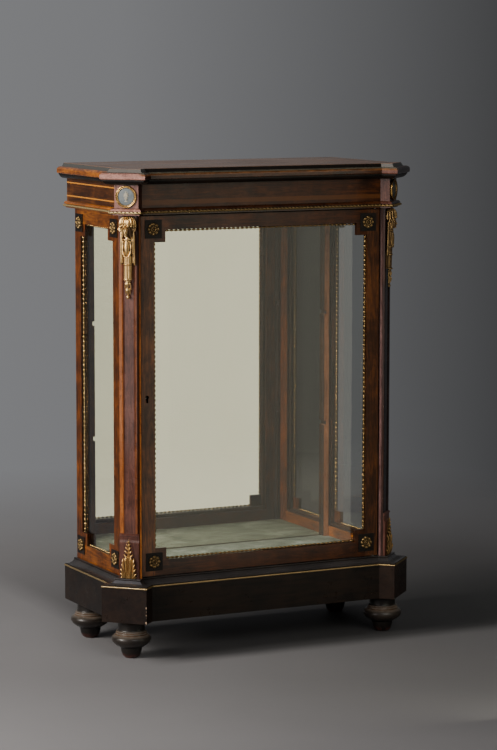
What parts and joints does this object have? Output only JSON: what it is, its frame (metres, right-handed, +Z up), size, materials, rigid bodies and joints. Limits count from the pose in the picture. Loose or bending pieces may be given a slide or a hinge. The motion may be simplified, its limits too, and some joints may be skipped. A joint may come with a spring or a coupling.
{
  "type": "display cabinet",
  "caption": "Glazed display cabinet on turned feet, with canted front corners, a mirror back, one door on pivots and a till lock.",
  "frame": {"origin": "centre of the cabinet's bounding box at floor level", "axes": "+Z up, +X to the viewer's right when facing the door, the door faces -Y"},
  "size_m": [0.7678, 0.3744, 1.07],
  "materials": {
    "ebonised_wood": "gloss",
    "rosewood": "gloss",
    "burr_walnut": "gloss",
    "carcase_pine": "matte",
    "lining": "matte",
    "gilt_bronze": "satin",
    "plaque": "satin",
    "glass": "clear",
    "mirror": "polished",
    "brass": "satin",
    "steel": "satin"
  },
  "bodies": {
    "case": {"back_panel": "carcase_pine", "bolt_keeper": "rosewood", "ceiling_board": "carcase_pine", "corner_post_left": "rosewood", "corner_post_right": "rosewood", "cornice_moulding": "ebonised_wood", "door_jambs": "rosewood", "door_stop": "rosewood", "feet_front": "ebonised_wood", "feet_rear": "ebonised_wood", "floor_board": "carcase_pine", "floor_lining": "lining", "frieze_back": "carcase_pine", "frieze_block_left": "rosewood", "frieze_block_right": "rosewood", "frieze_front": "rosewood", "frieze_side_left": "burr_walnut", "frieze_side_right": "burr_walnut", "herm_mounts": "gilt_bronze", "leaf_mounts": "gilt_bronze", "lip_gilt_strip": "gilt_bronze", "lip_moulding": "rosewood", "medallion_plaques": "plaque", "medallion_rings": "gilt_bronze", "mirror": "mirror", "pilaster_pedestals": "ebonised_wood", "pivot_pins": "steel", "pivot_plates_case": "brass", "plinth_back_rail": "carcase_pine", "plinth_cap_moulding": "ebonised_wood", "plinth_corner_blocks": "ebonised_wood", "plinth_front_rail": "ebonised_wood", "plinth_gilt_strip": "gilt_bronze", "plinth_rear_blocks": "carcase_pine", "plinth_side_rail_left": "ebonised_wood", "plinth_side_rail_right": "ebonised_wood", "rear_post_left": "carcase_pine", "rear_post_right": "carcase_pine", "side_beads": "gilt_bronze", "side_corner_squares": "ebonised_wood", "side_frame_left": "burr_walnut", "side_frame_right": "burr_walnut", "side_glass_left": "glass", "side_glass_right": "glass", "side_glass_stops": "burr_walnut", "side_rosettes": "gilt_bronze", "top_board_lower": "rosewood", "top_board_upper": "ebonised_wood"},
    "door": {"door_stile_left": "rosewood", "door_stile_right": "rosewood", "door_rail_top": "rosewood", "door_rail_bottom": "rosewood", "door_glass": "glass", "door_glass_stops": "rosewood", "door_beads": "gilt_bronze", "door_corner_squares": "ebonised_wood", "door_rosettes": "gilt_bronze", "pivot_plates_door": "brass", "lock_case": "brass"},
    "bolt": {"lock_bolt": "steel"}
  },
  "joints": [
    {"name": "door_hinge", "type": "hinge", "parent": "case", "child": "door", "pos_m": [0.28398, -0.12597, 0.5735], "axis": [0, 0, 1], "range_deg": [0, 90]},
    {"name": "bolt_slide", "type": "slide", "parent": "door", "child": "bolt", "axis": [-1, 0, 0], "range_m": [0, 0.007]}
  ]
}
